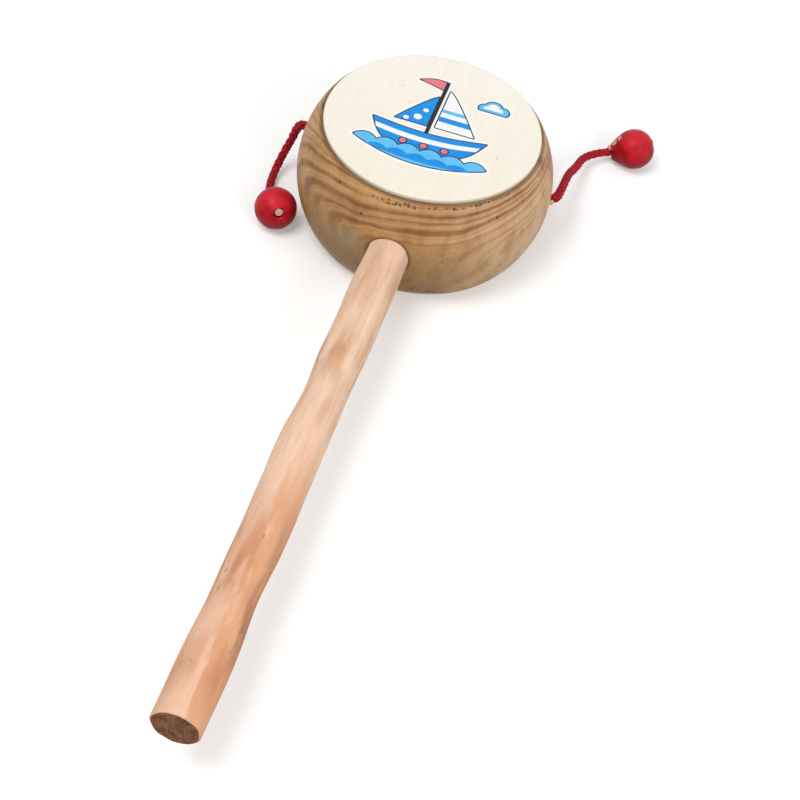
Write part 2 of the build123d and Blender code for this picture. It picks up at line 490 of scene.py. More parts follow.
def makeInk(name, colour, shade):
    material, nodes, shader, place = newMaterial(name, 0.45, 0.2)
    grain = nodes.noise(place, (0.9, 20, 1), 3.0, 0.6, 3.0)
    cloud = nodes.noise(nodes.scaled(place, 0.35), seed=2.1)
    mixed = nodes.mix(nodes.span(cloud, 0.35, 0.7, 0.0, 0.6), colour, shade)
    mixed = nodes.mix(nodes.span(grain, 0.55, 0.8, 0.0, 0.25), mixed, shade)
    cover(nodes, shader, mixed, grain, 0.03, 0.4)
    return material


def makeHandleWood():
    look = {
        "ground": paint(246, 215, 187),
        "pink": paint(240, 201, 173),
        "grey": paint(216, 184, 156),
        "streak": paint(200, 138, 98),
        "low": paint(235, 184, 154),
        "lowEnd": (110.0, 190.0),           # along the stick, from the drum's axis
        "bark": paint(224, 162, 118),       # orange-brown, left along one side near the end
        "barkX": (0.6, 2.4),
        "barkStart": (125.0, 150.0),
        "crustAndShade": paint(146, 96, 70),        # darker bark at the foot of that side, and painted shade along the stick's right edge
        "crustAndShadeX": (4.6, 6.6),
        "crustAndShadeStart": (146.0, 188.0),
        "crustAndShadeEnd": (204.0, 193.0),
        "sideways": 14.0,                   # how far the bark's edge wanders
        "scars": [
            # along the stick, half length, strength: where bark and dirt stayed on
            (58, 16, 0.5), (90, 16, 0.75), (112, 10, 0.4), (172, 28, 1.0), (204, 18, 0.9),
        ],
        "speck": paint(150, 92, 62),
        "speckSize": (1.9, 4.4, 1.9),
        "speckShare": (0.012, 0.17),        # on clean wood and on the scars
    }
    material, nodes, shader, place = newMaterial("handleWood", 0.64, 0.25)
    slow = nodes.noise(place, (6, 26, 6), 2.0, 0.5, 1.0)
    patch = nodes.noise(place, (5, 22, 5), 3.0, 0.55, 5.0)
    streak = nodes.noise(place, (0.8, 24, 0.8), 3.0, 0.6, 2.0)
    x, y = nodes.split(place)[:2]
    along = nodes.times(y, -1.0)
    colour = nodes.mix(nodes.span(slow, 0.35, 0.62), look["ground"], look["pink"])
    colour = nodes.mix(nodes.span(patch, 0.5, 0.68, 0.0, 0.55), colour, look["grey"])
    colour = nodes.mix(nodes.span(streak, 0.48, 0.8, 0.0, 0.45), colour, look["streak"])
    colour = nodes.mix(nodes.span(along, *look["lowEnd"], 0.0, 0.7), colour, look["low"])
    edge = nodes.calc("MULTIPLY_ADD", nodes.calc("SUBTRACT", patch, 0.5), look["sideways"], x)
    bark = nodes.times(nodes.span(edge, *look["barkX"], 0.0, 0.75), nodes.span(along, *look["barkStart"]))
    colour = nodes.mix(bark, colour, look["bark"])
    # partly darker bark, partly painted shade, along the stick's right edge near its end
    crustAndShade = nodes.times(nodes.span(along, *look["crustAndShadeStart"]), nodes.span(along, *look["crustAndShadeEnd"]))
    crustAndShade = nodes.times(crustAndShade, nodes.span(edge, *look["crustAndShadeX"], 0.0, 0.8))
    colour = nodes.mix(crustAndShade, colour, look["crustAndShade"])
    scarred = 0.0
    for centre, half, strength in look["scars"]:
        scarred = nodes.most(scarred, nodes.span(nodes.off(along, centre), 0.0, half, strength, 0.0))
    tired = nodes.times(scarred, nodes.span(patch, 0.4, 0.62), clamp=True)
    colour = nodes.mix(tired, colour, look["streak"])
    distance, chances = nodes.cells(place, look["speckSize"])
    kept = nodes.calc("LESS_THAN", chances[0], nodes.span(scarred, 0.2, 0.9, *look["speckShare"]))
    speck = nodes.times(nodes.span(distance, 0.08, 0.24, 1.0, 0.0), kept)
    colour = nodes.mix(nodes.times(speck, 0.62), colour, look["speck"])
    relief = nodes.calc("MULTIPLY_ADD", speck, -0.6, streak)
    cover(nodes, shader, colour, relief, 0.08, 0.6)
    return material


def makeSawnEnd():
    look = {"dark": paint(106, 66, 44), "brown": paint(150, 104, 74), "black": paint(66, 40, 28)}
    material, nodes, shader, place = newMaterial("sawnEnd", 0.8, 0.2)
    blotch = nodes.noise(place, (2.2, 2, 2.2), 4.0, 0.65, 1.0)
    saw = nodes.noise(place, (0.35, 9, 9), 2.0, 0.5, 8.0)
    colour = nodes.mix(nodes.span(blotch, 0.4, 0.6), look["dark"], look["brown"])
    colour = nodes.mix(nodes.span(saw, 0.5, 0.7, 0.0, 0.6), colour, look["black"])
    cover(nodes, shader, colour, nodes.calc("ADD", blotch, saw), 0.15, 0.8)
    return material


def makePegWood(name, ground, streaks):
    material, nodes, shader, place = newMaterial(name, 0.65, 0.2)
    streak = nodes.noise(place, (0.9, 0.9, 0.35), 3.0, 0.6, 1.0)
    colour = nodes.mix(nodes.span(streak, 0.4, 0.7, 0.0, 0.8), ground, streaks)
    cover(nodes, shader, colour, streak, 0.06, 0.7)
    return material


def makeBeadPaint():
    look = {
        "red": paint(208, 26, 44),
        "deep": paint(140, 5, 20),
        "shadedBottomZ": (10.0, 3.0),               # painted shade: darker towards the bottom
        "scuffAndHighlight": paint(226, 50, 66),
        "highlightZ": (9.5, 14.0),
        "palePatch": paint(244, 176, 164),
        "palePatches": [
            # place, radius: pale patches over the right bead's neck
            ((54.4, 56.6, 8.6), 1.15), ((55.8, 56.9, 10.7), 0.85),
        ],
    }
    material, nodes, shader, place = newMaterial("beadPaint", 0.42, 0.14)
    cloud = nodes.noise(place, (4.5, 4.5, 4.5), 2.0, 0.5, 1.0)
    grain = nodes.noise(place, (0.35, 2.4, 0.35), 2.0, 0.6, 2.0)
    z = nodes.split(place)["Z"]
    colour = nodes.mix(nodes.span(cloud, 0.35, 0.65), look["red"], look["deep"])
    # painted shade: the bead darker towards its bottom
    colour = nodes.mix(nodes.span(z, *look["shadedBottomZ"]), colour, look["deep"])
    # painted highlight: the bead paler towards its top
    colour = nodes.mix(nodes.span(z, *look["highlightZ"], 0.0, 0.5), colour, look["scuffAndHighlight"])
    colour = nodes.mix(nodes.span(grain, 0.62, 0.8, 0.0, 0.3), colour, look["scuffAndHighlight"])
    for centre, radius in look["palePatches"]:
        ragged = nodes.calc("MULTIPLY_ADD", grain, 0.9, nodes.away(place, centre))
        colour = nodes.mix(nodes.span(ragged, radius + 0.3, radius + 0.6, 0.85, 0.0), colour, look["palePatch"])
    nodes.feed(shader.inputs["Roughness"], nodes.span(cloud, 0.3, 0.7, 0.3, 0.46))
    cover(nodes, shader, colour, grain, 0.05, 0.5)
    return material


def makeRedCord():
    look = {
        "red": paint(188, 20, 38),
        "deep": paint(112, 8, 27),
        "light": paint(218, 50, 64),
        "sheen": {"Sheen Weight": 0.25, "Sheen Roughness": 0.5, "Sheen Tint": paint(255, 120, 130)},
    }
    material, nodes, shader, place = newMaterial("redCord", 0.75, 0.2)
    for socket, value in look["sheen"].items():
        nodes.feed(shader.inputs[socket], value)
    cloud = nodes.noise(place, (1.8, 1.8, 1.8), 2.0, 0.6, 1.0)
    yarn = nodes.noise(place, (0.16, 0.3, 0.16), 2.0, 0.6, 2.0)
    colour = nodes.mix(nodes.span(cloud, 0.35, 0.65, 0.0, 0.8), look["red"], look["deep"])
    colour = nodes.mix(nodes.span(yarn, 0.5, 0.75, 0.0, 0.6), colour, look["light"])
    cover(nodes, shader, colour, yarn, 0.08, 0.8)
    return material


bodyWood = makeBodyWood()
faceVeneer = makeVeneer()
handleWood = makeHandleWood()
sawnEnd = makeSawnEnd()
pegWood = makePegWood("pegWood", paint(232, 204, 160), paint(186, 144, 96))
dyedPegWood = makePegWood("dyedPegWood", paint(234, 188, 168), paint(196, 120, 104))
beadPaint = makeBeadPaint()
redCord = makeRedCord()
ink = {
    "white": makeInk("whiteInk", paint(250, 250, 250), paint(238, 240, 242)),
    "black": makeInk("blackInk", paint(26, 30, 44), paint(44, 52, 70)),
    "blue": makeInk("blueInk", paint(22, 150, 232), paint(28, 128, 214)),
    "sky": makeInk("skyInk", paint(104, 196, 244), paint(80, 178, 236)),
    "pink": makeInk("pinkInk", paint(240, 128, 140), paint(226, 104, 122)),
}
print("materials are made")


# drum body

drum = {
    "height": 41.1,
    "faceThickness": 1.2,
    "endRadius": 35.9,
    "middleRadius": 41.8,
    "edgeRound": 0.8,
    "boreRadius": 27.0,
    "endRing": 31.5,             # a ring of points on the flat ends, under the faces
    "rows": 76,
    "around": 320,
    "handleHole": 6.75,
    "handleHoleRun": (50, 20),   # from here to here along the handle's line
    "cordHole": 2.1,
    "cordHoleAzimuth": 8.0,
    "cordHoleShift": -0.68,      # from the cord's line, towards the handle
    "cordHoleRun": (3, -20),     # from outside the mouth to inside the bore
    "unevenness": 0.14,
}
middle = drum["height"] / 2


def barrelRadius(z):
    rise = middle - drum["faceThickness"]
    bulge = drum["middleRadius"] - drum["endRadius"]
    arc = (rise ** 2 + bulge ** 2) / (2 * bulge)
    return drum["middleRadius"] - arc + math.sqrt(arc ** 2 - (z - middle) ** 2)


def exitFrame(side):
    # mouth of a cord hole, its way out, and the direction backwards along the wall
    azimuth = math.radians(drum["cordHoleAzimuth"])
    wayOut = Vector((side * math.cos(azimuth), math.sin(azimuth), 0))
    backwards = Vector((-side * math.sin(azimuth), math.cos(azimuth), 0))
    return wayOut * drum["middleRadius"] + Vector((0, 0, middle)), wayOut, backwards


def cutter(name, start, end, radius, sides=64):
    # a slightly uneven rod to cut a hole with
    along = (end - start).normalized()
    across = along.orthogonal().normalized()
    other = along.cross(across)
    vertices = []
    for share in (0.0, 0.12, 1.0):
        centre = start.lerp(end, share)
        for cosine, sine in compass(sides):
            way = across * cosine + other * sine
            vertices.append((centre + way * (radius * (1 + 0.012 * wander(*(way * 2.0))))) * mm)
    return newPiece(name, vertices, ringFaces(3, sides, caps=True), [bodyWood])


def bodyOutline(low, high):
    # (radius, z) round the wall's section, from the bore over the lower end and up the barrel
    bore, end, corner = drum["boreRadius"], drum["endRadius"], drum["edgeRound"]
    outline = [(bore, low), (drum["endRing"], low)]
    outline += [(end - corner * 1.05, low), (end - corner * 0.5, low + 0.07)]
    for row in range(drum["rows"] + 1):
        z = low + corner * 0.45 + (high - low - corner * 0.9) * row / drum["rows"]
        lip = max(0.0, 1 - min(z - low, high - z) / corner)
        outline.append((barrelRadius(z) - 0.45 * corner * lip ** 2, z))
    outline += [(end - corner * 0.5, high - 0.07), (end - corner * 1.05, high)]
    return outline + [(drum["endRing"], high), (bore, high), (bore, middle)]


def makeBody():
    low = drum["faceThickness"]
    high = drum["height"] - low
    outline = bodyOutline(low, high)
    vertices = []
    for radius, z in outline:
        uneven = drum["unevenness"] if radius > drum["boreRadius"] + 1 and z not in (low, high) else 0.0
        for x, y in compass(drum["around"]):
            bulge = wander(x * 2.1, y * 2.1, z / 17) + 0.4 * wander(x * 6, y * 6, z / 6, 1)
            size = radius + uneven * (bulge - 0.3)
            vertices.append((size * x * mm, size * y * mm, z * mm))
    faces = ringFaces(len(outline), drum["around"], closedRows=True)
    body = newPiece("drumBody", vertices, faces, [bodyWood])
    outer, inner = (Vector((0, -reach, middle)) for reach in drum["handleHoleRun"])
    cutters = [cutter("handleHoleCutter", outer, inner, drum["handleHole"])]
    for side in (1, -1):
        mouth, wayOut, backwards = exitFrame(side)
        mouth += backwards * drum["cordHoleShift"]
        outer, inner = (mouth + wayOut * reach for reach in drum["cordHoleRun"])
        cutters.append(cutter("cordHoleCutter", outer, inner, drum["cordHole"], 32))
    for tool in cutters:
        hole = body.modifiers.new("hole", "BOOLEAN")
        hole.operation = "DIFFERENCE"
        hole.solver = "EXACT"
        hole.object = tool
    settle(body)
    for tool in cutters:
        bpy.data.objects.remove(tool)
    sharpen(body, 38)
    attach(body, "drum")
    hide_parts("drum_body")


makeBody()
print("drum body is turned")


# faces

disc = {
    "flat": [5, 10, 15, 20, 25, 29, 32, 33.6, 34.4],      # radii of the rings of points on the outside
    # radius and depth under the outside, over the rounded edge and on to the glued side
    "edge": [(34.75, 0.02), (34.93, 0.12), (35.0, 0.32), (35.0, 0.8), (34.9, 1.2), (33.5, 1.2)],
    "around": 240,
    "ragged": 0.0022,        # share of the radius that the knife strayed
    "wave": 0.05,
}


def makeFace(name, node, topSide, seed):
    # a thin disc of veneer, cut by hand, and in front a little wavy
    around = disc["around"]
    outside = drum["height"] if topSide else 0.0
    inward = -1 if topSide else 1
    wave = disc["wave"] if topSide else 0.0
    rings = [(radius, 0.0) for radius in disc["flat"]] + disc["edge"]
    vertices = []
    for radius, depth in rings:
        for x, y in compass(around):
            size = radius * (1 + disc["ragged"] * (wander(x * 1.7, y * 1.7, 0, seed) - 0.4))
            lift = wave * (wander(size * x / 15, size * y / 22, 0, seed + 3) - 0.5)
            vertices.append((size * x * mm, size * y * mm, (outside + inward * depth + lift) * mm))
    last = (len(rings) - 1) * around
    centre = last + around
    under = centre + 1
    vertices += [(0, 0, (outside - wave * 0.5) * mm), (0, 0, (outside + inward * rings[-1][1]) * mm)]
    faces = ringFaces(len(rings), around)
    for step in range(around):
        after = (step + 1) % around
        faces += [(centre, step, after), (under, last + after, last + step)]
    face = newPiece(name, vertices, faces, [faceVeneer])
    sharpen(face, 40)
    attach(face, "drum")
    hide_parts(node)


makeFace("frontFace", "front_face", True, 1)
makeFace("backFace", "back_face", False, 2)
print("faces are glued on")


# print on the front face

picture = {
    "centre": (-0.5, 0.5),
    "outline": 0.42,         # width of the black line round a shape
    "halo": 1.3,             # width of the white edge round that
    "step": 0.002,           # each colour lies this much over the one before
    "sunk": 0.12,            # and reaches this far down into the veneer
}


def smoothOutline(corners, steps=10):
    # corners are (x, y) or (x, y, "round"); a round one is passed on a soft curve
    count = len(corners)
    outline = []
    for index, corner in enumerate(corners):
        before, after = corners[index - 1], corners[(index + 1) % count]
        here = Vector(corner[:2])
        if len(corner) < 3:
            outline.append(here)
            continue
        start = here.lerp(Vector(before[:2]), 0.5)
        end = here.lerp(Vector(after[:2]), 0.5)
        for step in range(steps + 1):
            share = step / steps
            outline.append(start.lerp(here, share).lerp(here.lerp(end, share), share))
    return outline


def sailEdge(low, high, reach, foot, steps=12):
    # the free edge of a sail, from its foot to its head
    edge = []
    for step in range(steps + 1):
        share = step / steps
        y = low + (high - low) * share
        x = foot + reach * (1 - share) ** 0.85
        edge.append((x, y))
    return edge


def waveBand(half, low, crest, waves, deep, edge=0.4, steps=24):
    # crests above, and a shallow bowl below
    outline = []
    crestSteps = waves * 8
    for step in range(crestSteps + 1):
        x = -half + 2 * half * step / crestSteps
        outline.append((x, low + crest * abs(math.sin(math.pi * waves * step / crestSteps)) ** 0.8))
    for step in range(steps + 1):
        x = half - 2 * half * step / steps
        outline.append((x, low - deep * (1 - (x / half) ** 2) - edge))
    return outline


def circle(x, y, radius, sides=28):
    return [(x + radius * cosine, y + radius * sine) for cosine, sine in compass(sides)]


def cloudOutline(centre, lobes, foot, steps=60):
    # the outer edge of overlapping round lobes, cut flat at its foot
    outline = []
    for way in map(Vector, compass(steps)):
        reach = 0.0
        for x, y, radius in lobes:
            toLobe = Vector((x - centre[0], y - centre[1]))
            along = toLobe.dot(way)
            under = radius ** 2 - toLobe.length_squared + along ** 2
            if under > 0:
                reach = max(reach, along + math.sqrt(under))
        outline.append((centre[0] + reach * way.x, max(foot, centre[1] + reach * way.y)))
    return outline


def stripe(sail, low, high):
    # a band across the sail between two heights
    def at(y):
        for (x1, y1), (x2, y2) in zip(sail, sail[1:]):
            if y1 <= y <= y2:
                return x1 + (x2 - x1) * (y - y1) / (y2 - y1)
        return sail[-1][0]
    mast = sail[-1][0] + 0.05
    half = (low + high) / 2
    return [(mast, low), (at(low), low), (at(half), half), (at(high), high), (mast, high)]


def clearance(point, corners):
    # shortest way from a point to an outline
    shortest = math.inf
    for start, end in zip(corners, corners[1:] + corners[:1]):
        run = end - start
        share = max(0.0, min(1.0, (point - start).dot(run) / max(run.length_squared, 1e-12)))
        shortest = min(shortest, (point - start - run * share).length)
    return shortest


def grown(outline, amount):
    # the outline moved outwards, with its sharp corners cut and no loops in its hollows
    points = [Vector(p) for p in outline]
    points = [p for p, before in zip(points, points[-1:] + points[:-1]) if (p - before).length > 1e-6]
    area = sum(a.x * b.y - b.x * a.y for a, b in zip(points, points[1:] + points[:1]))
    turn = 1 if area > 0 else -1
    moved = []
    for before, here, after in zip(points[-1:] + points[:-1], points, points[1:] + points[:1]):
        runIn, runOut = here - before, after - here
        normalIn = Vector((runIn.y, -runIn.x)).normalized() * turn
        normalOut = Vector((runOut.y, -runOut.x)).normalized() * turn
        bisector = (normalIn + normalOut).normalized()
        lean = bisector.dot(normalIn)
        if lean < 0.86 and runIn.cross(runOut) * turn > 0:      # turned by more than about 60 degrees
            moved += [here + normalIn * amount, here + bisector * amount, here + normalOut * amount]
        else:
            moved.append(here + bisector * (amount / max(0.3, lean)))
    return [p for p in moved if clearance(p, points) > 0.97 * amount]


def makePrint():
    mainSail = sailEdge(-1.4, 17.6, 12.8, 1.3)
    jib = [(-1.4 - (x - 1.3) * 0.82, y * 0.8 - 0.6) for x, y in mainSail]
    hull = smoothOutline([(-18.4, -3.9), (-6, -5.6, "round"), (7, -5.2, "round"), (18.8, -2.6),
                          (15.2, -10.2, "round"), (9.5, -14.5), (-10.5, -14.5), (-15.4, -10, "round")])
    band = smoothOutline([(-17.0, -6.4), (-6, -8.0, "round"), (7, -7.6, "round"), (17.3, -5.2),
                          (16.4, -7.4), (7, -9.8, "round"), (-6, -10.2, "round"), (-16.2, -8.6)])
    flag = smoothOutline([(-0.9, 21.6), (-5, 21.8, "round"), (-9.6, 19.6), (-5, 18.6, "round"), (-0.9, 17.4)])
    mast = [(-1.2, -5.4), (0.1, -5.4), (0.1, 21.8), (-1.2, 21.8)]
    cloud = cloudOutline((16.6, 14.8), [(13.6, 14.4, 2.0), (16.3, 15.6, 2.9), (19.4, 14.6, 2.2)], 13.2)
    shine = cloudOutline((16.4, 15.0), [(14.2, 14.7, 1.0), (16.3, 15.6, 1.9), (18.5, 14.9, 1.1)], 14.3)
    shapes = [
        # outline, fill, whether a black line goes round it
        (cloud, "sky", True), (shine, "white", False),
        (flag, "pink", True), (mast, "black", False),
        (jib + [(-1.4, jib[0][1])], "blue", True),
        (circle(-5.2, 1.4, 1.35), "white", False), (circle(-8.6, -0.4, 0.9), "white", False),
        (circle(-3.6, 5.4, 0.9), "white", False),
        (mainSail + [(1.3, mainSail[0][1])], "white", True),
        (stripe(mainSail, 2.0, 4.4), "blue", False), (stripe(mainSail, 6.6, 8.2), "sky", False),
        (hull, "blue", True), (band, "white", False),
        (circle(-6.4, -11.5, 1.1), "pink", True), (circle(0.4, -11.5, 1.1), "pink", True),
        (circle(7.2, -11.3, 1.1), "pink", True),
        (waveBand(21.5, -14.5, 2.0, 6, 5.6), "sky", True),
        (waveBand(16.5, -17.4, 1.5, 5, 1.6), "blue", False),
    ]
    layers = [(grown(outline, picture["halo"]), "white") for outline, fill, lined in shapes if lined]
    for outline, fill, lined in shapes:
        if lined:
            layers.append((grown(outline, picture["outline"]), "black"))
        layers.append(([Vector(p) for p in outline], fill))
    colours = list(ink)
    work = bmesh.new()
    x0, y0 = picture["centre"]
    bottom = drum["height"] - picture["sunk"]
    for level, (outline, fill) in enumerate(layers):
        top = drum["height"] + picture["step"] * (level + 1)
        lower, upper = ([work.verts.new(((x + x0) * mm, (y + y0) * mm, z * mm)) for x, y in outline]
                        for z in (bottom, top))
        made = [work.faces.new(upper), work.faces.new(lower[::-1])]
        for index in range(len(outline)):
            after = (index + 1) % len(outline)
            made.append(work.faces.new((lower[index], lower[after], upper[after], upper[index])))
        for face in made:
            face.material_index = colours.index(fill)
    bmesh.ops.triangulate(work, faces=[f for f in work.faces if len(f.verts) > 4])
    bmesh.ops.recalc_face_normals(work, faces=work.faces)
    mesh = bpy.data.meshes.new("facePrint")
    work.to_mesh(mesh)
    work.free()
    for fill in ink.values():
        mesh.materials.append(fill)
    piece = addObject("facePrint", mesh)
    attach(piece, "drum")


makePrint()
print("front face is printed")


# handle

handle = {
    "radius": 6.73,
    "start": 25.0,            # inner end of the tenon, from the drum's axis
    "tenonStations": (25.5, 32.0, 39.0),
    "tenonEnd": 39.6,
    "tenonRadius": 6.45,
    "tenonEdge": 0.4,
    "shoulder": 0.6,
    "end": 218.5,
    "rows": 130,
    "around": 72,
    "chamfer": 0.45,
    "sawMarks": 0.12,
    "flats": 0.52,
    "swell": 0.22,
    "ripple": 0.1,
    "thicker": (165, 50, 0.15),          # from here, over this length, by this much
    "crook": (0.9, 0.5),                 # sideways and up
    "crookStart": 42,
    "crookRun": 40,
    "bumps": [
        # along the stick, half length, degrees round from +X, height
        (58, 15, 165, 0.5), (84, 18, 10, 0.3), (104, 16, 180, -0.65), (126, 14, 183, 0.3), (152, 14, 5, 0.2),
        (176, 16, 0, -0.7), (197, 16, 180, 0.45), (202, 14, 0, 0.3),
    ],
}


def handleSurface(x, y, along):
    # hand-cut: flats that come and go, small swells and bumps
    flats = -handle["flats"] * abs(wander(x * 1.3, y * 1.3, along / 45, 2))
    swell = handle["swell"] * wander(0.3, 0.7, along / 34, 3)
    ripple = handle["ripple"] * wander(x * 2.2, y * 2.2, along / 12, 4)
    start, run, growth = handle["thicker"]
    size = handle["radius"] + flats + swell + ripple + growth * max(0.0, (along - start) / run)
    for place, half, side, height in handle["bumps"]:
        off = (along - place) / half
        facing = x * math.cos(math.radians(side)) + y * math.sin(math.radians(side))
        if abs(off) < 1 and facing > 0:
            size += height * facing ** 1.5 * (1 - off * off) ** 2
    return size


def handleStations():
    # where the rings of points lie along the stick, the last three on its sawn end
    end, chamfer = handle["end"], handle["chamfer"]
    first = handle["tenonEnd"] + handle["shoulder"]
    run = end - chamfer - first
    stations = [handle["start"], *handle["tenonStations"], handle["tenonEnd"]]
    stations += [first + run * row / handle["rows"] for row in range(handle["rows"] + 1)]
    return stations + [end - chamfer * 0.3, end, end, end]


def makeHandle():
    around, chamfer = handle["around"], handle["chamfer"]
    stations = handleStations()
    rows = len(stations)
    vertices = []
    for row, along in enumerate(stations):
        fromEnd = rows - 1 - row
        bent = min(1, max(0, along - handle["crookStart"]) / handle["crookRun"])
        crookX = handle["crook"][0] * wander(0.1, 0.2, along / 75, 6) * bent
        crookZ = handle["crook"][1] * wander(0.4, 0.9, along / 75, 7) * bent
        for x, y in compass(around):
            if along < handle["tenonEnd"]:
                size = handle["tenonRadius"] - (handle["tenonEdge"] if row == 0 else 0)
            else:
                size = handleSurface(x, y, along)
            if fromEnd == 3:
                size -= chamfer * 0.45
            elif fromEnd == 2:
                size -= chamfer * (1.0 + 0.35 * wander(x * 4, y * 4, 1.0))
            elif fromEnd < 2:
                size *= (0.38, 0.75)[fromEnd]
            rough = 0.0
            if fromEnd < 2:
                rough = handle["sawMarks"] * wander(size * x / 1.7, size * y / 1.7, 3.0)
            vertices.append(((size * x + crookX) * mm, (-along + rough) * mm,
                             (middle + size * y + crookZ) * mm))
    faces = ringFaces(rows, around, caps=True)
    marks = [0] * ((rows - 3) * around) + [1] * (2 * around) + [0, 1]      # 1 is the sawn end
    piece = newPiece("handleStick", vertices, faces, [handleWood, sawnEnd], faceMaterials=marks)
    sharpen(piece, 35)
    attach(piece, "drum")
    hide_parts("handle")


makeHandle()
print("handle is in")


# cords

cord = {
    "diameter": 2.8,
    "strands": 8,
    "strandRadius": 0.52,
    "lineRadius": 0.80,          # of the strands' middles round the cord's line
    "weave": 0.16,               # how far a strand goes over and under
    "lay": 11.0,                 # a strand's turn takes this length
    "sides": 7,
    "step": 0.3,
    "lump": (0.3, 1.6, 12.0),    # pushed up just outside its hole: start, top and end
    "lumpSize": 0.2,
    "hairs": 420,                # on 1000 square millimetres
    "hairLength": 1.0,
    "foldReach": 6,              # a reach to both sides of the fold
}
sides = {
    "right": {
        "sign": 1,
        # the line's points from the wall into the bead, where it folds and which way it runs there
        "route": [
            (41.4, 5.8, 20.5), (42.6, 6.0, 20.5), (43.3, 7.4, 20.5), (43.5, 10.3, 20.2), (43.6, 14.4, 19.0),
            (43.6, 21.4, 16.2), (43.7, 29.7, 12.6), (44.9, 37.9, 8.7), (45.4, 45.5, 6.1), (47.3, 51.2, 4.4),
            (51.0, 55.0, 3.8), (55.4, 56.8, 4.7), (60.2, 57.7, 6.5),
        ],
        "fold": (43.7, 29.7, 12.6),
        "foldWay": (0.0, 0.925, -0.38),
        "length": 66.0,
        "bead": (61.6, 58.1, 7.0),
        "seed": 3,
    },
    "left": {
        "sign": -1,
        "route": [
            (-41.4, 5.8, 20.5), (-43.7, 6.1, 20.5), (-45.4, 6.7, 19.4), (-46.5, 7.0, 16.9),
            (-47.6, 6.9, 12.6), (-49.2, 5.7, 8.0), (-50.3, 2.6, 4.3), (-50.6, -2.0, 2.4),
            (-50.0, -6.8, 1.9), (-48.5, -11.3, 2.4), (-46.2, -15.6, 3.9), (-43.5, -20.3, 6.3),
        ],
        "fold": (-50.3, 2.6, 4.3),
        "foldWay": (-0.14, -0.86, -0.49),
        "length": 46.0,
        "bead": (-43.0, -21.5, 7.0),
        "seed": 8,
    },
}


def routeLine(name, route):
    # the cord's smooth centre line, as a chain of edges
    curve = bpy.data.curves.new(name, "CURVE")
    curve.dimensions = "3D"
    curve.resolution_u = 24
    spline = curve.splines.new("NURBS")
    spline.points.add(len(route) - 1)
    for point, (x, y, z) in zip(spline.points, route):
        point.co = (x * mm, y * mm, z * mm, 1)
    spline.order_u = 3
    spline.use_endpoint_u = True
    holder = addObject(name, curve)
    mesh = finalMesh(holder)
    bpy.data.objects.remove(holder)
    bpy.data.curves.remove(curve)
    return mesh


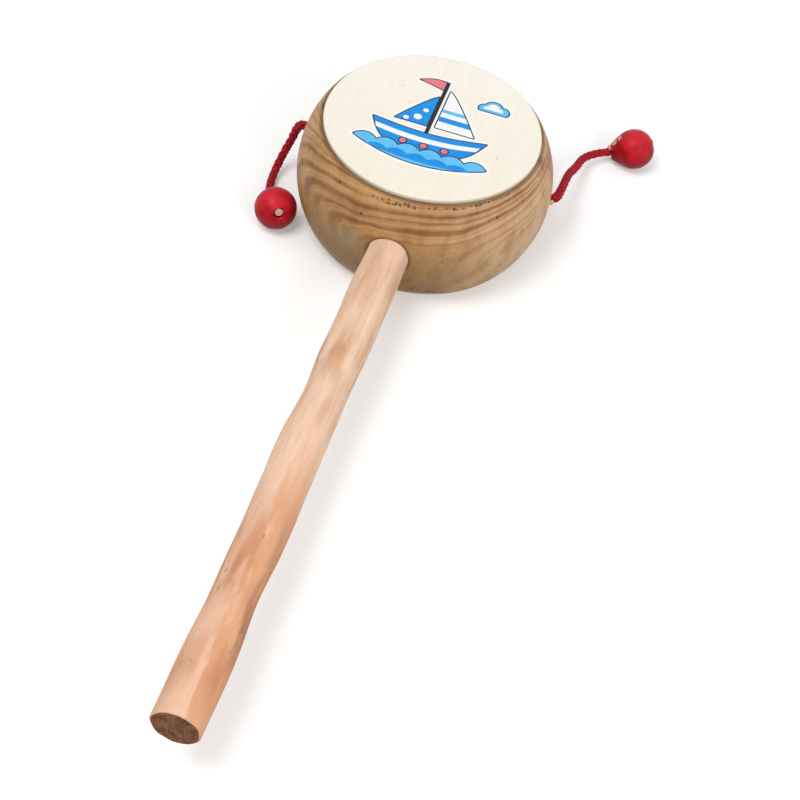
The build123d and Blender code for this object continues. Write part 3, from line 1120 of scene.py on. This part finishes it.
def braidTree():
    tree = bpy.data.node_groups.new("braid", "GeometryNodeTree")
    tree.interface.new_socket(name="Line", in_out="INPUT", socket_type="NodeSocketGeometry")
    for label, kind in (("Strands", "NodeSocketInt"), ("Strand Radius", "NodeSocketFloat"),
                        ("Line Radius", "NodeSocketFloat"), ("Weave", "NodeSocketFloat"),
                        ("Lay", "NodeSocketFloat"), ("Step", "NodeSocketFloat"), ("Sides", "NodeSocketInt"),
                        ("Hairs", "NodeSocketFloat"), ("Hair Length", "NodeSocketFloat"),
                        ("Seed", "NodeSocketInt"), ("Yarn", "NodeSocketMaterial")):
        tree.interface.new_socket(name=label, in_out="INPUT", socket_type=kind)
    tree.interface.new_socket(name="Braid", in_out="OUTPUT", socket_type="NodeSocketGeometry")
    nodes = Nodes(tree)
    given = nodes.add("NodeGroupInput").outputs
    line = nodes.add("GeometryNodeMeshToCurve", {"Mesh": given["Line"]}).outputs[0]
    line = nodes.add("GeometryNodeResampleCurve", {
        "Curve": line, "Length": given["Step"]}, mode="LENGTH").outputs[0]
    copies = nodes.add("GeometryNodeDuplicateElements", {"Geometry": line, "Amount": given["Strands"]},
                       domain="SPLINE")
    number = copies.outputs["Duplicate Index"]
    along = nodes.add("GeometryNodeSplineParameter").outputs["Length"]
    normal = nodes.add("GeometryNodeInputNormal").outputs[0]
    tangent = nodes.add("GeometryNodeInputTangent").outputs[0]
    binormal = nodes.vector("CROSS_PRODUCT", tangent, normal)
    # even strands wind one way and odd ones the other
    odd = nodes.calc("MODULO", number, 2.0)
    way = nodes.calc("MULTIPLY_ADD", odd, -2.0, 1.0)
    winding = nodes.calc("DIVIDE", nodes.times(along, 2 * math.pi), given["Lay"])
    share = nodes.calc("DIVIDE", nodes.times(number, 2 * math.pi), given["Strands"])
    angle = nodes.calc("MULTIPLY_ADD", winding, way, share)
    overUnder = nodes.times(nodes.calc("SINE", nodes.times(winding, 4.0)), way, given["Weave"])
    uneven = nodes.noise(nodes.join(nodes.times(along, 260.0), nodes.times(number, 7.3),
                                    nodes.times(given["Seed"], 3.1)), seed=1.0)
    lumpStart, lumpTop, lumpEnd = (place * mm for place in cord["lump"])
    lump = nodes.times(nodes.span(along, lumpStart, lumpTop),
                       nodes.span(along, lumpTop, lumpEnd, cord["lumpSize"], 0.0))
    size = nodes.calc("ADD", nodes.span(uneven, 0.25, 0.75, 0.9, 1.1), lump)
    radius = nodes.times(nodes.calc("ADD", given["Line Radius"], overUnder), size)
    sideways = nodes.scaled(normal, nodes.times(nodes.calc("COSINE", angle), radius))
    upwards = nodes.scaled(binormal, nodes.times(nodes.calc("SINE", angle), radius))
    moved = nodes.add("GeometryNodeSetPosition", {
        "Geometry": copies.outputs[0], "Offset": nodes.vector("ADD", sideways, upwards)}).outputs[0]
    ring = nodes.add("GeometryNodeCurvePrimitiveCircle", {
        "Resolution": given["Sides"], "Radius": given["Strand Radius"]}).outputs[0]
    strands = nodes.add("GeometryNodeCurveToMesh", {
        "Curve": moved, "Profile Curve": ring, "Fill Caps": True}).outputs[0]
    # loose fibres stand off the strands, each a hair of length 1 that bends over, scaled down
    spots = nodes.add("GeometryNodeDistributePointsOnFaces", {
        "Mesh": strands, "Density": given["Hairs"], "Seed": given["Seed"]})
    hairLine = nodes.add("GeometryNodeCurvePrimitiveBezierSegment", {
        "Resolution": 4, "Start": (0, 0, 0), "Start Handle": (0, 0, 0.35), "End Handle": (0.35, 0, 0.6),
        "End": (0.8, 0.1, 0.55)}).outputs[0]
    hairRing = nodes.add("GeometryNodeCurvePrimitiveCircle", {"Resolution": 3, "Radius": 0.035}).outputs[0]
    hair = nodes.add("GeometryNodeCurveToMesh", {
        "Curve": hairLine, "Profile Curve": hairRing, "Fill Caps": True}).outputs[0]
    spin = nodes.add("FunctionNodeRandomValue", {
        "Seed": given["Seed"], 0: (-0.5, -0.5, 0), 1: (0.5, 0.5, 2 * math.pi)}, data_type="FLOAT_VECTOR")
    turned = nodes.add("FunctionNodeRotateEuler", {
        "Rotation": spots.outputs["Rotation"], "Rotate By": spin.outputs[0]}, space="LOCAL").outputs[0]
    length = nodes.add("FunctionNodeRandomValue", {
        "Seed": given["Seed"], 2: 0.35, 3: 1.0}, data_type="FLOAT").outputs[1]
    fuzz = nodes.add("GeometryNodeInstanceOnPoints", {
        "Points": spots.outputs["Points"], "Instance": hair, "Rotation": turned,
        "Scale": nodes.times(length, given["Hair Length"])}).outputs[0]
    joined = nodes.add("GeometryNodeJoinGeometry")
    for part in (fuzz, strands):
        nodes.feed(joined.inputs[0], part)
    real = nodes.add("GeometryNodeRealizeInstances", {"Geometry": joined.outputs[0]}).outputs[0]
    smooth = nodes.add("GeometryNodeSetShadeSmooth", {"Geometry": real}).outputs[0]
    dressed = nodes.add("GeometryNodeSetMaterial", {"Geometry": smooth, "Material": given["Yarn"]}).outputs[0]
    nodes.add("NodeGroupOutput", {"Braid": dressed})
    return tree


def setInputs(modifier, values):
    for item in modifier.node_group.interface.items_tree:
        if item.in_out == "INPUT" and item.name in values:
            modifier[item.identifier] = values[item.name]


braid = braidTree()


def makeCord(name, side):
    line = routeLine("line", side["route"])
    path = [tuple(v.co) for v in line.vertices]
    piece = addObject(name + "Cord", line)
    modifier = piece.modifiers.new("braid", "NODES")
    modifier.node_group = braid
    setInputs(modifier, {
        "Strands": cord["strands"], "Strand Radius": cord["strandRadius"] * mm,
        "Line Radius": cord["lineRadius"] * mm, "Weave": cord["weave"] * mm, "Lay": cord["lay"] * mm,
        "Step": cord["step"] * mm, "Sides": cord["sides"], "Hairs": cord["hairs"] / (1000 * mm * mm),
        "Hair Length": cord["hairLength"] * mm, "Seed": side["seed"], "Yarn": redCord,
    })
    settle(piece)
    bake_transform(piece)
    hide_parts("cord_root_" + name, "cord_end_" + name)
    return piece, path


# beads and pegs

bead = {
    "radius": 7.0,
    "bore": 2.1,
    "farBore": 1.6,          # where the peg's head closes it
    "boreShift": 0.6,
    "shiftReach": 3.5,       # outside the bore the shift fades out over this
    "boreRun": 2.4,          # the bore gets narrower this far before its far end
    "around": 64,
    "rows": 40,
    "lip": 0.45,
    "lipRows": [(0.18, 0.0), (0.05, 0.24), (0.0, 0.6)],      # wider by, at this depth
    "swell": 0.14,
    "ripple": 0.05,
    "worn": 0.06,
    "neckAngle": 54.0,       # round from the cord's mouth, where the ball runs out into a short neck
}
# sizes of a peg's ends are half width and half thickness
beadPeg = {"head": (1.38, 1.3), "tip": (1.2, 0.6), "tipShift": 1.45, "proud": 1.8, "inset": 0.35}
wallPeg = {"head": (1.0, 0.6), "tip": (0.6, 0.4), "length": 11.4, "proud": 0.9, "shift": -2.1}
sliver = {
    "stations": (0.0, 0.02, 0.06, 0.25, 0.5, 0.75, 0.94, 0.98, 1.0),      # shares of the length
    "around": 16,
    "blunt": 0.76,
    "slant": 0.14,
    "whittled": (0.14, 0.05),
}


def threadFrame(side):
    # a bead's centre, the way its cord goes through, and two directions across that
    centre = Vector(side["bead"])
    along = (centre - Vector(side["route"][-2])).normalized()
    up = (Vector((0, 0, 1)) - along * along.z).normalized()
    return centre, along, up, along.cross(up)


def beadOutline(neckAngle):
    # (distance from the bore's line, place along it) on a perfect bead, then back through its bore
    radius, bore, farBore = bead["radius"], bead["bore"], bead["farBore"]
    farLip, nearLip = (math.asin((edge + bead["lip"]) / radius) for edge in (farBore, bore))
    outline = []
    for row in range(bead["rows"] + 1):
        polar = farLip + (math.pi - nearLip - farLip) * row / bead["rows"]
        outline.append((radius * math.sin(polar), radius * math.cos(polar)))
    farEnd = outline[0][1]
    mouth = -outline[-1][1] / math.cos(neckAngle - nearLip)
    outline += [(bore + wider, depth - mouth) for wider, depth in bead["lipRows"]]
    outline += [(bore, 0.0), (bore, farEnd - bead["boreRun"])]
    return outline + [(farBore + wider, farEnd - depth) for wider, depth in reversed(bead["lipRows"])]


def beadSurface(u, v, z, seed, neckAngle):
    # turned by hand: small flats and swells, and a neck round the cord's mouth
    way = Vector((u, v, z)).normalized()
    swell = bead["swell"] * wander(*(way * 1.6), seed) + bead["ripple"] * wander(*(way * 4.5), seed + 2)
    level = math.sqrt(max(0.0, bead["radius"] ** 2 - u * u - v * v))
    way = Vector((u, v, math.copysign(level, z))).normalized()
    neck = math.cos(max(0.0, neckAngle - math.acos(max(-1.0, min(1.0, -way.z)))))
    return way * ((bead["radius"] - bead["worn"] + swell) / neck)


def makeBead(name, side):
    centre, along, up, across = threadFrame(side)
    neckAngle = math.radians(bead["neckAngle"])
    outline = beadOutline(neckAngle)
    vertices = []
    for row, (radius, z) in enumerate(outline):
        fromBore = max(0.0, radius - bead["bore"]) / bead["shiftReach"]
        shift = bead["boreShift"] * max(0.0, 1 - fromBore)
        for x, y in compass(bead["around"]):
            u, v = radius * x + shift, radius * y
            point = Vector((u, v, z))
            if row <= bead["rows"]:
                point = beadSurface(u, v, z, side["seed"], neckAngle)
            vertices.append((centre + up * point.x + across * point.y + along * point.z) * mm)
    faces = ringFaces(len(outline), bead["around"], closedRows=True)
    piece = newPiece(name + "Bead", vertices, faces, [beadPaint])
    sharpen(piece, 50)
    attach(piece, name + "_striker")
    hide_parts("bead_" + name)
    return piece


def splitPeg(name, start, end, startSize, endSize, up, seed, wood):
    # a sliver of wood, split and whittled: not quite round, with blunt rough ends
    along = (end - start).normalized()
    thick = (up - along * up.dot(along)).normalized()
    wide = along.cross(thick)
    broad, fine = sliver["whittled"]
    vertices = []
    for share in sliver["stations"]:
        centre = start.lerp(end, share)
        halfWidth, halfThick = (a + (b - a) * share for a, b in zip(startSize, endSize))
        blunt, slant = (sliver["blunt"], sliver["slant"]) if share in (0.0, 1.0) else (1.0, 0.0)
        for x, y in compass(sliver["around"]):
            cut = 1 + broad * wander(x * 1.3, y * 1.3, share * 0.8, seed)
            cut += fine * wander(x * 4, y * 4, share * 6, seed)
            across = wide * (halfWidth * x) + thick * (halfThick * y)
            vertices.append((centre + across * (blunt * cut) + along * (slant * halfWidth * x)) * mm)
    faces = ringFaces(len(sliver["stations"]), sliver["around"], caps=True)
    piece = newPiece(name, vertices, faces, [wood])
    sharpen(piece, 40)
    return piece


def makePegs(name, side):
    centre, along, up = threadFrame(side)[:3]
    radius, shift = bead["radius"], bead["boreShift"]
    head = centre + along * (radius - beadPeg["inset"]) + up * shift
    tip = centre - along * (radius + beadPeg["proud"]) + up * (shift + beadPeg["tipShift"])
    inBead = splitPeg(name + "BeadPeg", head, tip, beadPeg["head"], beadPeg["tip"], up, side["seed"],
                      dyedPegWood)
    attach(inBead, name + "_striker")
    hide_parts("bead_peg_" + name)
    mouth, wayOut, backwards = exitFrame(side["sign"])
    start = mouth + wayOut * wallPeg["proud"] + backwards * wallPeg["shift"]
    inWall = splitPeg(name + "WallPeg", start, start - wayOut * wallPeg["length"], wallPeg["head"],
                      wallPeg["tip"], backwards, side["seed"] + 4, pegWood)
    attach(inWall, "drum")
    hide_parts("wall_peg_" + name)
    return inBead


for name, side in sides.items():
    cordPiece, path = makeCord(name, side)
    beadPiece = makeBead(name, side)
    pegPiece = makePegs(name, side)
    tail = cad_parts["cord_tail_" + name]
    tail.data.materials.clear()
    tail.data.materials.append(redCord)
    print(name, "cord, bead and pegs are made")
